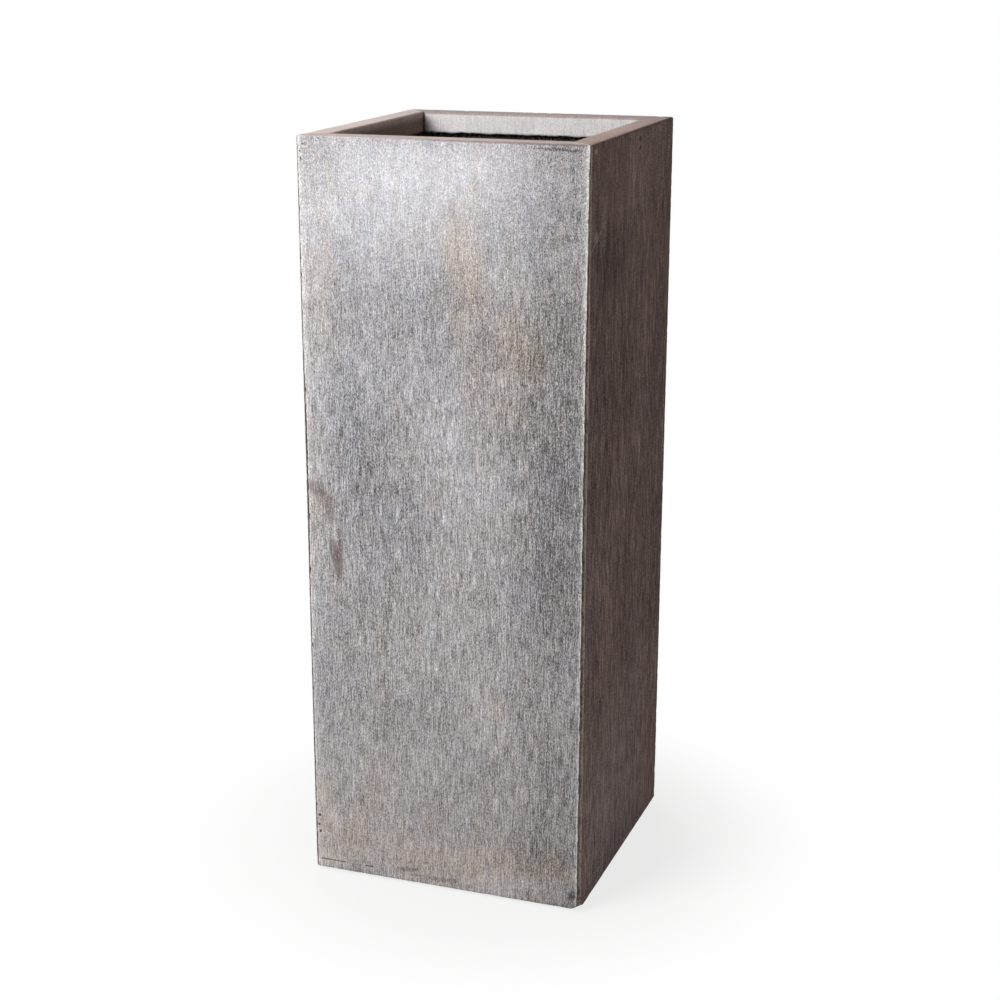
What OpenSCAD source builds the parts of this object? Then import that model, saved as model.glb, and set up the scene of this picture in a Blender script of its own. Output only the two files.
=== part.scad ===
// Tall square planter built from four cast concrete side panels with a returned rim.
// The panels are mitred at the corners, pointed with mortar and bedded on a base slab.
// Frame: +Z up, origin on the floor under the middle, front face towards -Y.

/* [Overall] */
// Width and depth over the side panels
planter_w = 380; // [300:5:600]
// Height from the floor to the top of the rim
planter_h = 1000; // [400:10:1400]

/* [Side panels] */
// Thickness of the side walls
wall_t = 12; // [9:0.5:16]
// Radius worn on the edges of the rim
edge_r = 3; // [1:0.25:4]

/* [Rim] */
// Thickness of the flat top of the rim
rim_t = 12; // [9:0.5:16]
// Thickness of the turned-down lip
lip_t = 10; // [9:0.5:14]
// Depth that the lip hangs below the flat of the rim
lip_drop = 15; // [6:1:60]
// Width of the hollow between the wall and the lip
hollow_w = 10; // [6:1:40]
// Radius in the two upper roots of the hollow
root_r = 2.5; // [1:0.25:2.75]

/* [Corner mortar] */
// Gap between the mitred ends of two panels
joint_gap = 2; // [1:0.25:4]
// Width that the pointed groove opens to on each face
pointing_w = 3; // [2:0.25:5]
// Depth of the pointed groove
pointing_d = 6; // [3:0.5:8]
// Length that the mortar coves take up on each wall
cove_leg = 10; // [4:0.5:14]

/* [Base] */
// Thickness of the base slab
slab_t = 12; // [8:0.5:30]
// Thickness of the mortar bed on the slab
bed_t = 2; // [1:0.25:4]
// Depth that the bed is raked back from the outer faces
bed_rake = 1; // [0.5:0.25:3]
// Radius worn on the lower edges of the base slab
slab_edge_r = 2; // [0.5:0.25:4]
// Diameter of the drain hole
drain_d = 25; // [16:1:40]

/* [Drain plug] */
// Clearance round the top of the plug's shank in the drain hole
plug_clear = 0.3; // [0.2:0.05:0.6]
// Taper of the shank on its radius
plug_taper = 1.5; // [0.5:0.25:3]
// Length of shank that shows below the slab
plug_tail = 1; // [0.5:0.25:1.5]
// Width that the flange overlaps the slab round the drain hole
flange_lap = 7; // [4:0.5:12]
// Thickness of the flange
flange_t = 3; // [2:0.25:6]
// Diameter of the pull knob
knob_d = 14; // [8:0.5:18]
// Height of the pull knob above the flange
knob_h = 12; // [9:0.5:20]

/* [Feet] */
// Diameter of a foot pad
foot_d = 40; // [20:1:60]
// Height of a foot pad
foot_h = 4; // [3:0.25:12]
// Distance from the outer faces to the middle of a foot pad
foot_inset = 45; // [34:1:70]

/* [Hidden] */
$fn = 96;

half_w = planter_w / 2;
slab_top = foot_h + slab_t;
wall_foot = slab_top + bed_t;
wall_h = planter_h - wall_foot;
rim_w = wall_t + hollow_w + lip_t;
lip_h = rim_t + lip_drop;
// Offset of a mitred end from the diagonal, measured along the wall
mitre_back = joint_gap / sqrt(2);
// Reach of a tool past the surface that it cuts
over = 1;
// Centre of a cove's hollow from the inner corner, in leg lengths
cove_centre = 1.5;
// The bed's leg on its chamfered corner, so that the rake is the same there
bed_chamfer = pointing_w - (2 - sqrt(2)) * bed_rake;
// The plug's edges and the neck under its knob
flange_edge_r = flange_t / 3;
knob_bead_r = knob_d / 5;
neck_r = knob_d / 4;
// Radius of the lower edge of a foot pad
foot_edge_r = foot_h / 4;

front_grey = [0.66, 0.65, 0.64];
side_brown = [0.36, 0.32, 0.30];
rim_side_grey = [0.58, 0.55, 0.53];
mortar_grey = [0.44, 0.42, 0.40];
slab_grey = [0.52, 0.49, 0.47];
rubber_black = [0.09, 0.09, 0.09];

// Places a side's parts: 0 front, 1 right, 2 back, 3 left. A child stands at the front,
// runs along +X from the left arris, and has its outer face on the XZ plane.
module on_side(side) {
    rotate([0, 0, 90 * side])
        translate([-half_w, -half_w, 0])
            children();
}

// Turns a profile of depth and height into a bar along +X.
module along_wall(length) {
    rotate([90, 0, 90])
        linear_extrude(length)
            children();
}

// The web between two edges that meet at the origin and the arc that is tangent to both.
module corner_web(r, margin = 0) {
    difference() {
        translate([-margin, -margin])
            square(r + margin);
        translate([r, r])
            circle(r);
    }
}

// A hollow mortar fillet with legs on two walls that meet at the origin.
module cove_profile(leg) {
    centre = cove_centre * leg;
    difference() {
        square(leg);
        translate([centre, centre])
            circle(norm([centre - leg, centre]));
    }
}

// Section of a side panel: wall, flat rim and turned-down lip, in depth and height.
module panel_profile() {
    rim_under = wall_h - rim_t;
    lip_outer = wall_t + hollow_w;
    difference() {
        union() {
            square([wall_t, wall_h]);
            translate([0, rim_under])
                square([rim_w, rim_t]);
            translate([lip_outer, wall_h - lip_h])
                square([lip_t, lip_h]);
            translate([wall_t, rim_under])
                mirror([0, 1])
                    corner_web(root_r);
            translate([lip_outer, rim_under])
                rotate(180)
                    corner_web(root_r);
        }
        translate([0, wall_h])
            mirror([0, 1])
                corner_web(edge_r, over);
        translate([rim_w, wall_h])
            rotate(180)
                corner_web(edge_r, over);
        translate([lip_outer, wall_h - lip_h])
            corner_web(edge_r, over);
        translate([rim_w, wall_h - lip_h])
            mirror([1, 0])
                corner_web(edge_r, over);
    }
}

// A side panel: its profile, with both ends mitred and grooved for pointing.
module side_panel() {
    ends = [
        [pointing_w, 0],
        [planter_w - pointing_w, 0],
        [planter_w - pointing_d - mitre_back, pointing_d],
        [planter_w - rim_w - mitre_back, rim_w],
        [rim_w + mitre_back, rim_w],
        [pointing_d + mitre_back, pointing_d]
    ];
    translate([0, 0, wall_foot])
        intersection() {
            along_wall(planter_w)
                panel_profile();
            linear_extrude(wall_h)
                polygon(ends);
        }
}

// Half of the mortar in a mitre joint, from the diagonal to the end of one panel.
module mitre_mortar_half() {
    gap = [
        [pointing_w / 2, pointing_w / 2],
        [pointing_w, 0],
        [pointing_d + mitre_back, pointing_d],
        [rim_w + mitre_back, rim_w],
        [rim_w, rim_w]
    ];
    intersection() {
        along_wall(rim_w + joint_gap)
            panel_profile();
        linear_extrude(wall_h)
            polygon(gap);
    }
}

// The mortar of one corner: the mitre joint and the cove inside, under the rim.
module corner_mortar() {
    cove_foot = cove_leg - bed_t;
    cove_top = wall_h - rim_t - root_r;
    translate([0, 0, wall_foot])
        union() {
            mitre_mortar_half();
            mirror([1, -1, 0])
                mitre_mortar_half();
            translate([wall_t, wall_t, cove_foot])
                linear_extrude(cove_top - cove_foot)
                    cove_profile(cove_leg);
        }
}

// Outline of the planter drawn in by a distance, with its corners cut for pointing.
module footprint(inset, chamfer) {
    side = planter_w - 2 * inset;
    translate([-side / 2, -side / 2])
        polygon([
            [chamfer, 0], [side - chamfer, 0],
            [side, chamfer], [side, side - chamfer],
            [side - chamfer, side], [chamfer, side],
            [0, side - chamfer], [0, chamfer]
        ]);
}

// Section of the base slab from front to back, with its lower edges worn round.
module slab_profile() {
    difference() {
        square([planter_w, slab_t]);
        corner_web(slab_edge_r, over);
        translate([planter_w, 0])
            mirror([1, 0])
                corner_web(slab_edge_r, over);
    }
}

module base_slab() {
    color(slab_grey)
        translate([0, 0, foot_h])
            difference() {
                intersection() {
                    linear_extrude(slab_t)
                        footprint(0, pointing_w);
                    on_side(0)
                        along_wall(planter_w)
                            slab_profile();
                    on_side(1)
                        along_wall(planter_w)
                            slab_profile();
                }
                translate([0, 0, -over])
                    cylinder(h = slab_t + 2 * over, d = drain_d);
            }
}

// The mortar bed under the panels, and its cove along the inside of the walls.
module base_bed_mortar() {
    inner_w = planter_w - 2 * wall_t;
    color(mortar_grey)
        translate([0, 0, slab_top])
            union() {
                linear_extrude(bed_t)
                    difference() {
                        footprint(bed_rake, bed_chamfer);
                        square(inner_w, center = true);
                    }
                for (side = [0:3])
                    on_side(side)
                        bed_cove(inner_w);
            }
}

// One side of the cove, with mitred ends, and the foot of the corner's upright cove.
module bed_cove(inner_w) {
    translate([wall_t, wall_t, 0]) {
        intersection() {
            along_wall(inner_w)
                cove_profile(cove_leg);
            linear_extrude(cove_leg)
                polygon([[0, 0], [inner_w, 0], [inner_w - cove_leg, cove_leg], [cove_leg, cove_leg]]);
        }
        linear_extrude(cove_leg)
            cove_profile(cove_leg);
    }
}

// The bung stands on its flange, and its shank hangs in the drain hole.
module drain_plug() {
    shank_r = drain_d / 2 - plug_clear;
    shank_h = slab_t + plug_tail;
    flange_r = drain_d / 2 + flange_lap;
    color(rubber_black)
        translate([0, 0, slab_top])
            union() {
                translate([0, 0, -shank_h])
                    cylinder(h = shank_h, r1 = shank_r - plug_taper, r2 = shank_r);
                rotate_extrude()
                    difference() {
                        square([flange_r, flange_t]);
                        translate([flange_r, flange_t])
                            rotate(180)
                                corner_web(flange_edge_r, over);
                    }
                cylinder(h = flange_t + knob_h - knob_bead_r, r = neck_r);
                translate([0, 0, flange_t + knob_h - knob_bead_r])
                    rotate_extrude()
                        knob_profile();
            }
}

// The pull knob: a disc with a full round edge.
module knob_profile() {
    disc_r = knob_d / 2 - knob_bead_r;
    translate([0, -knob_bead_r])
        square([disc_r, 2 * knob_bead_r]);
    translate([disc_r, 0])
        circle(knob_bead_r);
}

module foot_pad() {
    foot_r = foot_d / 2;
    translate([foot_inset, foot_inset, 0])
        rotate_extrude()
            difference() {
                square([foot_r, foot_h]);
                translate([foot_r, 0])
                    mirror([1, 0])
                        corner_web(foot_edge_r, over);
            }
}

module front_panel() {
    color(front_grey)
        on_side(0)
            side_panel();
}

module right_panel() {
    color(side_brown)
        on_side(1)
            side_panel();
}

module back_panel() {
    color(front_grey)
        on_side(2)
            side_panel();
}

module left_panel() {
    color(rim_side_grey)
        on_side(3)
            side_panel();
}

module front_left_corner_mortar() {
    color(mortar_grey)
        on_side(0)
            corner_mortar();
}

module front_right_corner_mortar() {
    color(mortar_grey)
        on_side(1)
            corner_mortar();
}

module back_right_corner_mortar() {
    color(mortar_grey)
        on_side(2)
            corner_mortar();
}

module back_left_corner_mortar() {
    color(mortar_grey)
        on_side(3)
            corner_mortar();
}

module front_left_foot() {
    color(rubber_black)
        on_side(0)
            foot_pad();
}

module front_right_foot() {
    color(rubber_black)
        on_side(1)
            foot_pad();
}

module back_right_foot() {
    color(rubber_black)
        on_side(2)
            foot_pad();
}

module back_left_foot() {
    color(rubber_black)
        on_side(3)
            foot_pad();
}

front_panel();
right_panel();
back_panel();
left_panel();
front_left_corner_mortar();
front_right_corner_mortar();
back_right_corner_mortar();
back_left_corner_mortar();
base_slab();
base_bed_mortar();
drain_plug();
front_left_foot();
front_right_foot();
back_right_foot();
back_left_foot();
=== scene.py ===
import bmesh
import bpy
import math
from mathutils import Matrix, Vector, noise


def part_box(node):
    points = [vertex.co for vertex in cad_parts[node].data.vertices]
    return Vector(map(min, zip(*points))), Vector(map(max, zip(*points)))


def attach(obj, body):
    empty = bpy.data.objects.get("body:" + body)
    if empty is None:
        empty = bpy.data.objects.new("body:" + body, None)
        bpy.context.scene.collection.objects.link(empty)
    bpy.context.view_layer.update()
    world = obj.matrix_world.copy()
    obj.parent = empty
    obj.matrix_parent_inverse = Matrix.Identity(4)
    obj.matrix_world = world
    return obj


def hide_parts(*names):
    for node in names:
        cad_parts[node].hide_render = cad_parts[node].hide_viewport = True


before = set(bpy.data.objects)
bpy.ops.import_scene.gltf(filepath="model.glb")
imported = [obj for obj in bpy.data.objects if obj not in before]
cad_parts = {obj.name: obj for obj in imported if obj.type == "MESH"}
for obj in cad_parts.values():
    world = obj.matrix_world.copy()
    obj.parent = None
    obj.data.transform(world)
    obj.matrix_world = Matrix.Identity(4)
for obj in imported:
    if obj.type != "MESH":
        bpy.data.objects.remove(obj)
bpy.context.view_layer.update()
print("frame loaded:", len(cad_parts), "nodes")

# Places that the pieces share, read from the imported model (metres)
panelLow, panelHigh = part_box("front_panel")
slabLow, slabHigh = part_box("base_slab")
halfWidth = -panelLow.y
rimTop = panelHigh.z
wallFoot = panelLow.z
rimWidth = panelHigh.y - panelLow.y
grooveMouth = halfWidth - panelHigh.x
slabTop = slabHigh.z
slabFoot = slabLow.z

# Each side is made in the front's place and turned by quarters, seen from above
sideNames = ["front", "right", "back", "left"]
cornerNames = ["front_left", "front_right", "back_right", "back_left"]
sideTurns = {side: math.radians(90 * index) for index, side in enumerate(sideNames)}


def clamp(value, low=0.0, high=1.0):
    return min(high, max(low, value))


def unitNoise(x, y, z):
    # noise from 0 to 1; the library's own goes from -1 to 1
    return 0.5 + 0.5 * noise.noise((x, y, z))


def bite(x, y, z, level):
    # how far the noise stands above a level: the places of chips and holes
    return max(0.0, noise.noise((x, y, z)) - level)


def sideAt(x, y):
    # the index of the side that a place in the plan lies towards
    return 0 if y < -abs(x) else 1 if x > abs(y) else 2 if y > abs(x) else 3


# How far the worn arris stands back from the true corner (m): at the top, at the foot, how it grows, and how
# much more is broken off around one height; shares are for the side to its right and the side to its left
arrisWear = {
    "front_left": {"top": 0.0014, "foot": 0.0026, "power": 0.6, "broken": 0.0016, "at": 0.57, "reach": 0.16,
                   "shares": (1.0, 0.35)},
    "front_right": {"top": 0.0018, "foot": 0.0046, "power": 0.55, "broken": 0.0005, "at": 0.60, "reach": 0.2,
                    "shares": (1.0, 1.0)},
    "back_right": {"top": 0.0014, "foot": 0.0030, "power": 1.2, "broken": 0.0008, "at": 0.40, "reach": 0.1,
                   "shares": (1.0, 0.8)},
    "back_left": {"top": 0.0014, "foot": 0.0028, "power": 1.0, "broken": 0.0010, "at": 0.70, "reach": 0.1,
                  "shares": (0.9, 1.0)},
}

# How ragged it is: the share of its leg, the row of the noise, and how often it changes for each metre up
arrisRagged = ((0.22, 3.1, 70), (0.16, 7.7, 240))


def arrisLeg(corner, hand, z):
    # hand is -1 on the side to the right of the corner, seen from outside, and 1 on the side to its left
    wear = arrisWear[corner]
    seed = 10.0 * cornerNames.index(corner) + 3 * hand
    down = max(0.0, 1 - z / rimTop)
    leg = wear["top"] + (wear["foot"] - wear["top"]) * down ** wear["power"]
    leg += wear["broken"] * max(0.0, 1 - ((z - wear["at"]) / wear["reach"]) ** 2)
    leg *= wear["shares"][0 if hand < 0 else 1]
    ragged = sum(share * noise.noise((seed, row, z * often)) for share, row, often in arrisRagged)
    return leg * (1 + ragged)


def cornersOf(side):
    # the corner at a side's left end and the one at its right end, seen from outside
    index = sideNames.index(side)
    return cornerNames[index], cornerNames[(index + 1) % 4]


# Short ways to work in edit mode, where everything is picked by its place
def startPiece(name):
    piece = bpy.context.active_object
    piece.name = name
    piece.data.name = name
    bpy.ops.object.transform_apply(location=True, rotation=True, scale=True)
    bpy.ops.object.mode_set(mode="EDIT")
    return piece


def addBlock(name, low, high):
    bpy.ops.object.select_all(action="DESELECT")
    low, high = Vector(low), Vector(high)
    bpy.ops.mesh.primitive_cube_add(size=1, location=(low + high) / 2, scale=high - low)
    return startPiece(name)


def pickEdges(piece, wanted):
    bpy.ops.mesh.select_mode(type="EDGE")
    bpy.ops.mesh.select_all(action="DESELECT")
    form = bmesh.from_edit_mesh(piece.data)
    for edge in form.edges:
        if wanted(edge.verts[0].co, edge.verts[1].co):
            edge.select = True
    form.select_flush_mode()
    bmesh.update_edit_mesh(piece.data)


def pickFaces(piece, wanted):
    bpy.ops.mesh.select_mode(type="FACE")
    bpy.ops.mesh.select_all(action="DESELECT")
    form = bmesh.from_edit_mesh(piece.data)
    form.normal_update()
    for face in form.faces:
        if wanted(face.calc_center_median(), face.normal):
            face.select = True
    bmesh.update_edit_mesh(piece.data)


def extrudeBy(move):
    bpy.ops.mesh.extrude_region_move(TRANSFORM_OT_translate={"value": move})


def sliceAt(place, direction, keep="both"):
    # keeps what lies behind the plane, or both parts
    bpy.ops.mesh.select_all(action="SELECT")
    cut = keep == "behind"
    direction = Vector(direction).normalized()
    bpy.ops.mesh.bisect(plane_co=place, plane_no=direction, use_fill=cut, clear_outer=cut)


def near(value, target, reach=0.00002):
    return abs(value - target) < reach


def copyPiece(piece, name):
    copy = bpy.data.objects.new(name, piece.data.copy())
    copy.data.name = name
    bpy.context.scene.collection.objects.link(copy)
    return copy


def finishPiece(piece, nodes, body, sharpAbove=30):
    bpy.ops.object.select_all(action="DESELECT")
    piece.select_set(True)
    bpy.context.view_layer.objects.active = piece
    bpy.ops.object.shade_smooth_by_angle(angle=math.radians(sharpAbove))
    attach(piece, body)
    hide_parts(*nodes)


# Side panels: a thin wall, a flat rim and a lip turned down inside
panelForm = {
    "wall": 0.012,
    "rimThickness": 0.012,
    "hollow": 0.010,
    "lip": 0.010,
    "lipDrop": 0.0168,
    "edgeRadius": 0.003,
    "rootRadius": 0.0025,
    "grooveDepth": 0.006,
    "jointGap": 0.002,
    "fineEnd": 0.016,       # columns close together at the arrises
    "fineColumns": 12,
    "bays": 12,
    "bayColumns": 8,
    "fineTop": 0.036,
    "fineFoot": 0.012,
    "topRows": 19,
    "footRows": 7,
    "middleRows": 300,
    "rimColumns": 7,
    "edgeSegments": 4,
    "rootSegments": 3,
}


def makePanelForm():
    form = panelForm
    outer = -halfWidth
    inner = outer + form["wall"]
    rimUnder = rimTop - form["rimThickness"]
    piece = addBlock("panel_form", (-halfWidth, outer, wallFoot), (halfWidth, inner, rimTop))
    sliceAt((0, 0, rimUnder), (0, 0, 1))
    pickFaces(piece, lambda c, n: n.y > 0.9 and c.z > rimUnder)
    extrudeBy((0, form["hollow"], 0))
    extrudeBy((0, form["lip"], 0))
    lipOuter = inner + form["hollow"]
    pickFaces(piece, lambda c, n: n.z < -0.9 and c.y > lipOuter and c.z > rimUnder - 0.001)
    extrudeBy((0, 0, -form["lipDrop"]))
    lipFoot = rimUnder - form["lipDrop"]
    lipInner = -halfWidth + rimWidth

    def along(a, b, y, z):
        return near(a.y, y) and near(b.y, y) and near(a.z, z) and near(b.z, z) and abs(a.x - b.x) > 0.1

    rounded = [(outer, rimTop), (lipInner, rimTop), (lipInner, lipFoot), (lipOuter, lipFoot)]
    pickEdges(piece, lambda a, b: any(along(a, b, y, z) for y, z in rounded))
    bpy.ops.mesh.bevel(offset=form["edgeRadius"], segments=form["edgeSegments"], affect="EDGES")
    pickEdges(piece, lambda a, b: along(a, b, inner, rimUnder) or along(a, b, lipOuter, rimUnder))
    bpy.ops.mesh.bevel(offset=form["rootRadius"], segments=form["rootSegments"], affect="EDGES")

    # the mitred ends, and the V that the pointing fills
    mitreBack = form["jointGap"] / math.sqrt(2)
    grooveFoot = form["grooveDepth"] + mitreBack
    for hand in (-1, 1):
        corner = Vector((hand * halfWidth, -halfWidth, 0))
        sliceAt(corner - Vector((hand * mitreBack, 0, 0)), (hand, 1, 0), "behind")
        mouth = corner - Vector((hand * grooveMouth, 0, 0))
        root = corner + Vector((-hand * grooveFoot, form["grooveDepth"], 0))
        slope = root - mouth
        sliceAt(mouth, (slope.y * hand, -slope.x * hand, 0), "behind")

    # bays and levels through the whole form, then fine columns and rows where the cast shows
    fineStart = halfWidth - form["fineEnd"]
    bayWidth = 2 * fineStart / form["bays"]
    for bay in range(form["bays"] + 1):
        sliceAt((-fineStart + bay * bayWidth, 0, 0), (1, 0, 0))
    flatTop = rimTop - form["edgeRadius"]
    topStart = rimTop - form["fineTop"]
    footEnd = wallFoot + form["fineFoot"]
    third = (topStart - footEnd) / 3
    levels = [footEnd, footEnd + third, footEnd + 2 * third, topStart]
    for level in levels:
        sliceAt((0, 0, level), (0, 0, 1))

    def isColumn(a, b, low, high):
        middle = (a.x + b.x) / 2
        shows = near(a.y, outer) or a.z > lipFoot - 0.0001
        return shows and low < middle < high and near(a.y, b.y) and near(a.z, b.z)

    for low, high, cuts in (
        (-halfWidth, -fineStart, form["fineColumns"]),
        (fineStart, halfWidth, form["fineColumns"]),
        (-fineStart, fineStart, form["bayColumns"]),
    ):
        pickEdges(piece, lambda a, b: isColumn(a, b, low, high))
        bpy.ops.mesh.subdivide(number_cuts=cuts)

    def isRow(a, b, low, high):
        middle = (a.z + b.z) / 2
        return low < middle < high and near(a.y, b.y) and near(a.x, b.x) and a.y < inner + 0.0001

    zones = [(wallFoot, footEnd, form["footRows"])]
    zones += [(low, low + third, form["middleRows"] // 3) for low in levels[:3]]
    for low, high, cuts in zones:
        pickEdges(piece, lambda a, b: isRow(a, b, low, high))
        bpy.ops.mesh.subdivide(number_cuts=cuts)
    pickEdges(piece, lambda a, b: isRow(a, b, topStart, flatTop) and near(a.y, outer))
    bpy.ops.mesh.subdivide(number_cuts=form["topRows"])

    def isRimSpan(a, b):
        onTop = near(a.z, rimTop) and near(b.z, rimTop) and near(a.x, b.x)
        onLip = near(a.y, lipInner) and near(b.y, lipInner) and near(a.x, b.x)
        return (onTop or onLip) and (a - b).length > 0.01

    pickEdges(piece, isRimSpan)
    bpy.ops.mesh.subdivide(number_cuts=form["rimColumns"])
    bpy.ops.mesh.select_all(action="SELECT")
    bpy.ops.mesh.normals_make_consistent(inside=False)
    bpy.ops.object.mode_set(mode="OBJECT")
    return piece


# Small pits and holes left by air in the cast: across and up from the side's lower left (m), half its width,
# half its height, its depth, and whether pale dust fills it
pits = {
    "front": [
        (0.0114, 0.9888, 0.0021, 0.0020, 0.0006, True), (0.0078, 0.9885, 0.0009, 0.0009, 0.0008, False),
        (0.0043, 0.9796, 0.0010, 0.0010, 0.0008, False), (0.0290, 0.9965, 0.0010, 0.0008, 0.0006, False),
        (0.0052, 0.9700, 0.0006, 0.0024, 0.0006, False), (0.0066, 0.0818, 0.0018, 0.0019, 0.0011, False),
        (0.0056, 0.0673, 0.0015, 0.0016, 0.0010, False), (0.0074, 0.0577, 0.0016, 0.0017, 0.0010, False),
        (0.0490, 0.0690, 0.0008, 0.0008, 0.0006, False),
    ],
    "right": [
        (0.2149, 0.9854, 0.0058, 0.0027, 0.0012, False), (0.2154, 0.9743, 0.0050, 0.0024, 0.0010, False),
        (0.2290, 0.9880, 0.0030, 0.0014, 0.0008, False), (0.0193, 0.9900, 0.0034, 0.0018, 0.0009, True),
        (0.1668, 0.9890, 0.0036, 0.0016, 0.0009, False), (0.0120, 0.9560, 0.0024, 0.0020, 0.0008, False),
    ],
    "back": [
        (0.0120, 0.9800, 0.0014, 0.0014, 0.0010, False), (0.3600, 0.0300, 0.0016, 0.0016, 0.0010, False),
    ],
    "left": [
        (0.3660, 0.9770, 0.0013, 0.0013, 0.0009, False), (0.0140, 0.0420, 0.0016, 0.0016, 0.0010, False),
    ],
}


# Wear of a panel. A sink: how deep (m), and how often it changes for each metre across and up.
# Chips: how often they come for each metre, and the level of the noise that they start from
panelWear = {
    "slowSink": (0.00022, 5, 3),
    "fineSink": (0.00006, 60, 22),
    "lipSink": (0.0004, 40, 25),
    "insideWave": (0.0007, 22, 14),
    "rimSink": (0.00018, 12),
    "arrisReach": 0.0035,
    "arrisSink": 0.00025,
    "chipDepth": 0.0016,
    "chips": (95, 0.12),
    "smallChips": (300, 0.15),
    "smallShare": 0.6,
    "lineWidth": 0.0028,    # the pale line along the arris, and how much wider it grows from one height on
    "lineGrowth": 0.0030,
    "lineGrows": (0.55, 0.4),
    "lineRagged": (0.45, 50),
    "brinkReach": 0.004,    # down from the rim
    "brinkSink": 0.0002,
    "brinkDepth": 0.0012,
    "brinkChips": (90, 0.15),
    "lipReach": 0.004,      # up from the lip's foot
    "lipRise": 0.0004,
    "lipWave": 0.0014,
    "lipWaves": ((0.9, 55, 1.0), (0.6, 190, 2.0)),
}


def sink(values, x, row, z, seed=0.0):
    deep, perX, perZ = values
    return deep * unitNoise(x * perX + seed, row, z * perZ)


def wearPanel(piece, side):
    # sinks, chips and rounds the clean form, always inward; works in the front's place
    form, wear = panelForm, panelWear
    seed = 11.0 * (sideNames.index(side) + 1)
    leftCorner, rightCorner = cornersOf(side)
    worn = piece.data.attributes.new("worn", "FLOAT", "POINT")
    fineStart = halfWidth - form["fineEnd"]
    inner = -halfWidth + form["wall"]
    lipOuter = inner + form["hollow"]
    lipFoot = rimTop - form["rimThickness"] - form["lipDrop"]
    chipsOften, chipsLevel = wear["chips"]
    smallOften, smallLevel = wear["smallChips"]
    brinkOften, brinkLevel = wear["brinkChips"]
    growFrom, growOver = wear["lineGrows"]
    raggedShare, raggedOften = wear["lineRagged"]
    rimDeep, rimOften = wear["rimSink"]
    waveDeep, waveAcross, waveUp = wear["insideWave"]
    for vertex in piece.data.vertices:
        x, y, z = vertex.co
        hand = 1 if x > 0 else -1
        leg = arrisLeg(rightCorner if x > 0 else leftCorner, hand, z)
        depth = y + halfWidth
        move = Vector((0, 0, 0))
        shown = 0.0
        if depth < form["grooveDepth"]:
            nearEnd = clamp((abs(x) - fineStart) / (form["fineEnd"] - grooveMouth))
            share = nearEnd * (1 - depth / form["grooveDepth"])
            move.x += hand * share * (grooveMouth - leg)
        if depth < form["edgeRadius"] + 0.0001:
            move.y += sink(wear["slowSink"], x, 1.0, z, seed) + sink(wear["fineSink"], x, 2.0, z, seed)
            fromArris = halfWidth - leg - abs(x + move.x)
            chip = bite(seed, hand * 9.0, z * chipsOften, chipsLevel)
            chip += wear["smallShare"] * bite(seed, hand * 5.0, z * smallOften, smallLevel)
            close = max(0.0, 1 - fromArris / wear["arrisReach"])
            move.y += close * close * (wear["arrisSink"] + wear["chipDepth"] * chip)
            lineWidth = wear["lineWidth"] + wear["lineGrowth"] * clamp((z - growFrom) / growOver)
            lineWidth *= 1 + raggedShare * noise.noise((seed, hand * 2.0, z * raggedOften))
            shown = max(shown, 1 - fromArris / lineWidth)
            brink = max(0.0, 1 - (rimTop - z) / wear["brinkReach"])
            brinkChip = bite(x * brinkOften, seed, 4.0, brinkLevel)
            move.z -= brink * (wear["brinkSink"] + wear["brinkDepth"] * brinkChip)
            for pitX, pitZ, pitWide, pitTall, deep, filled in pits[side]:
                away = math.hypot((x + halfWidth - pitX) / pitWide, (z - pitZ) / pitTall)
                if away < 1:
                    move.y += deep * (1 - away * away)
        elif z > rimTop - 0.0005:
            move.z -= rimDeep * unitNoise(x * rimOften, y * rimOften + seed, 6.0)
        if depth > rimWidth - 0.001:
            move.y -= sink(wear["lipSink"], x, seed, z)
        if y > lipOuter - 0.0005 and z < lipFoot + wear["lipReach"]:
            low = 1 - (z - lipFoot) / wear["lipReach"]
            wave = sum(share * noise.noise((x * often, seed, row)) for share, often, row in wear["lipWaves"])
            move.z += low * (wear["lipWave"] * wave + wear["lipRise"])
        if near(y, inner, 0.0003) and z < lipFoot:
            move.y += waveDeep * noise.noise((x * waveAcross, seed, z * waveUp))
        vertex.co = vertex.co + move
        worn.data[vertex.index].value = clamp(shown)


cleanPanel = makePanelForm()
panels = {}
for side in sideNames:
    panel = copyPiece(cleanPanel, side + "_panel_cast")
    wearPanel(panel, side)
    panel.data.transform(Matrix.Rotation(sideTurns[side], 4, "Z"))
    panels[side] = panel
bpy.data.objects.remove(cleanPanel)
print("side panels:", len(panels["front"].data.polygons), "faces each")


# Corner mortar: the V-pointed arris, the web in the mitre joint and the cove inside
mortarForm = {
    "lowerBy": 0.0004,      # the mitre joint's mortar stands a little under the rim
    "lipShort": 0.001,      # and ends a little above the lips' foot
    "pointing": 0.0035,     # how far behind the arris the rough pointing goes
    "columns": 5,
    "rows": 100,
    "rowZones": 5,
    "coveLeg": 0.010,
    "covePinch": 0.14,      # bevel profile of the hollow fillet
    "coveSegments": 6,
    "coveRows": 90,
    "coveWaves": ((0.0008, 90, 30), (0.0005, 300, 90)),
    "sunkEdge": 0.0004,
    "sideGap": 0.0001,
    "rough": 0.0009,
    "roughMost": 1.3,       # widths of the groove's mouth from which it grows no rougher
    "coarse": (0.6, 1.5, 75),   # share, changes across the pointing, and changes for each metre up
    "fine": (0.5, 3.5, 330),
    "holeDepth": 0.0024,
    "holeMost": 1.5,
    "holes": (2.2, 160, 0.28),  # changes across and up, and the level of the noise that they start from
    "rimSink": (0.0002, 150),
    "lipGap": {"front_left": 0.002, "front_right": 0.002, "back_right": 0.003, "back_left": 0.006},
}


def diagonal(alongWall, intoWall):
    # a place in a corner's plan, from two distances to a point on the diagonal and one across it
    return (alongWall + intoWall) / math.sqrt(2), (alongWall - intoWall) / math.sqrt(2)


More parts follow.
